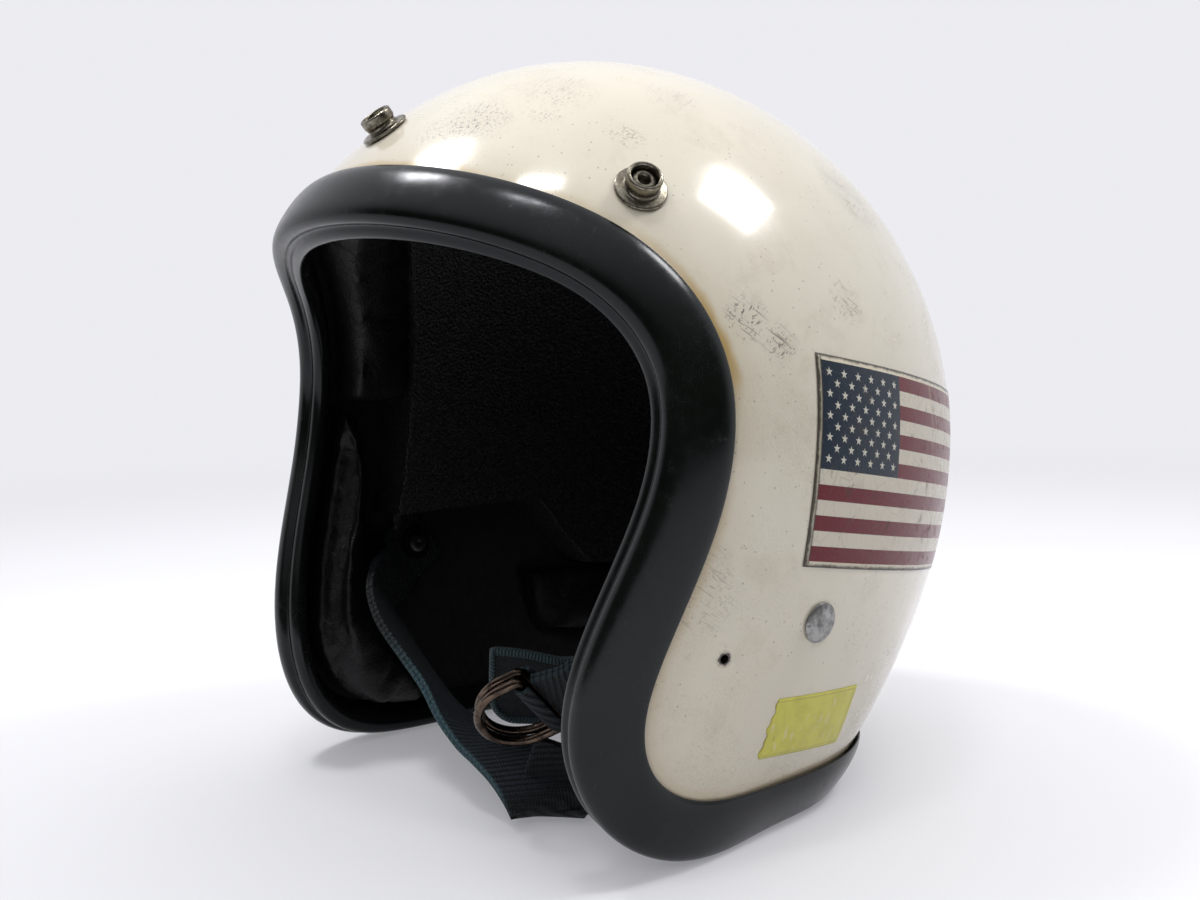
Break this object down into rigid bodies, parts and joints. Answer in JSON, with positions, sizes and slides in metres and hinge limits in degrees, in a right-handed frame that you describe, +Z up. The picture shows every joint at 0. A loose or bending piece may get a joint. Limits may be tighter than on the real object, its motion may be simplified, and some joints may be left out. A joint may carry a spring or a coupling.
{
  "type": "open-face motorcycle helmet",
  "caption": "Open-face shell with beaded rubber edge, padded lining, brow snaps and a hinged chin strap closed by D-shaped rings.",
  "frame": {"origin": "centre of the helmet's outline in plan, on the surface that it stands on", "axes": "the helmet faces -Y, the wearer's left is +X, and +Z is up"},
  "size_m": [0.2463, 0.2698, 0.2685],
  "materials": {
    "shell_gelcoat": "glossy aged gel coat over glass fibre",
    "trim_rubber": "satin black extruded rubber",
    "liner_foam": "dark expanded foam, hidden behind the lining",
    "lining_cloth": "dark looped cloth",
    "pad_leather": "dark worn leather over foam",
    "webbing": "ribbed teal-navy webbing",
    "flap_cloth": "navy cloth with a light bound edge",
    "ring_metal": "dark aged nickel plate",
    "rivet_metal": "mottled grey aluminium",
    "snap_metal": "tarnished nickel plate",
    "washer_metal": "plain plated steel",
    "flag_print": "printed vinyl, worn",
    "yellow_print": "yellow vinyl, worn, with a torn left end"
  },
  "bodies": {
    "helmet": {"shell": "shell_gelcoat", "edge_trim": "trim_rubber", "impact_liner": "liner_foam", "crown_lining": "lining_cloth", "brow_pad": "pad_leather", "nape_pad": "pad_leather", "cheek_pad_left": "pad_leather", "cheek_pad_right": "pad_leather", "strap_anchor_left": "webbing", "strap_anchor_right": "webbing", "flag_decal": "flag_print", "plain_decal": "yellow_print", "strap_rivet_left": "rivet_metal", "rivet_washer_left": "washer_metal", "strap_rivet_right": "rivet_metal", "rivet_washer_right": "washer_metal", "snap_stud_left": "snap_metal", "snap_eyelet_left": "snap_metal", "snap_washer_left": "washer_metal", "snap_stud_centre": "snap_metal", "snap_eyelet_centre": "snap_metal", "snap_washer_centre": "washer_metal", "snap_stud_right": "snap_metal", "snap_eyelet_right": "snap_metal", "snap_washer_right": "washer_metal"},
    "long_strap": {"chin_strap_long": "webbing"},
    "short_strap": {"chin_strap_short": "webbing", "strap_pad": "flap_cloth"},
    "ring_upper": {"d_ring_upper": "ring_metal"},
    "ring_lower": {"d_ring_lower": "ring_metal"}
  },
  "joints": [
    {"name": "long_strap_swing", "type": "hinge", "parent": "helmet", "child": "long_strap", "pos_m": [-0.094, -0.054, 0.0655], "axis": [0, 0, 1], "range_deg": [0, 50]},
    {"name": "short_strap_swing", "type": "hinge", "parent": "helmet", "child": "short_strap", "pos_m": [0.094, -0.054, 0.0655], "axis": [0, 0, -1], "range_deg": [0, 50]},
    {"name": "ring_upper_turn", "type": "hinge", "parent": "short_strap", "child": "ring_upper", "pos_m": [0.04232, -0.08084, 0.04761], "axis": [-0.1316, 0.7128, -0.689], "range_deg": [0, 27]},
    {"name": "ring_lower_turn", "type": "hinge", "parent": "short_strap", "child": "ring_lower", "pos_m": [0.04448, -0.08296, 0.04499], "axis": [0.1316, -0.7128, 0.689], "range_deg": [0, 75]}
  ]
}
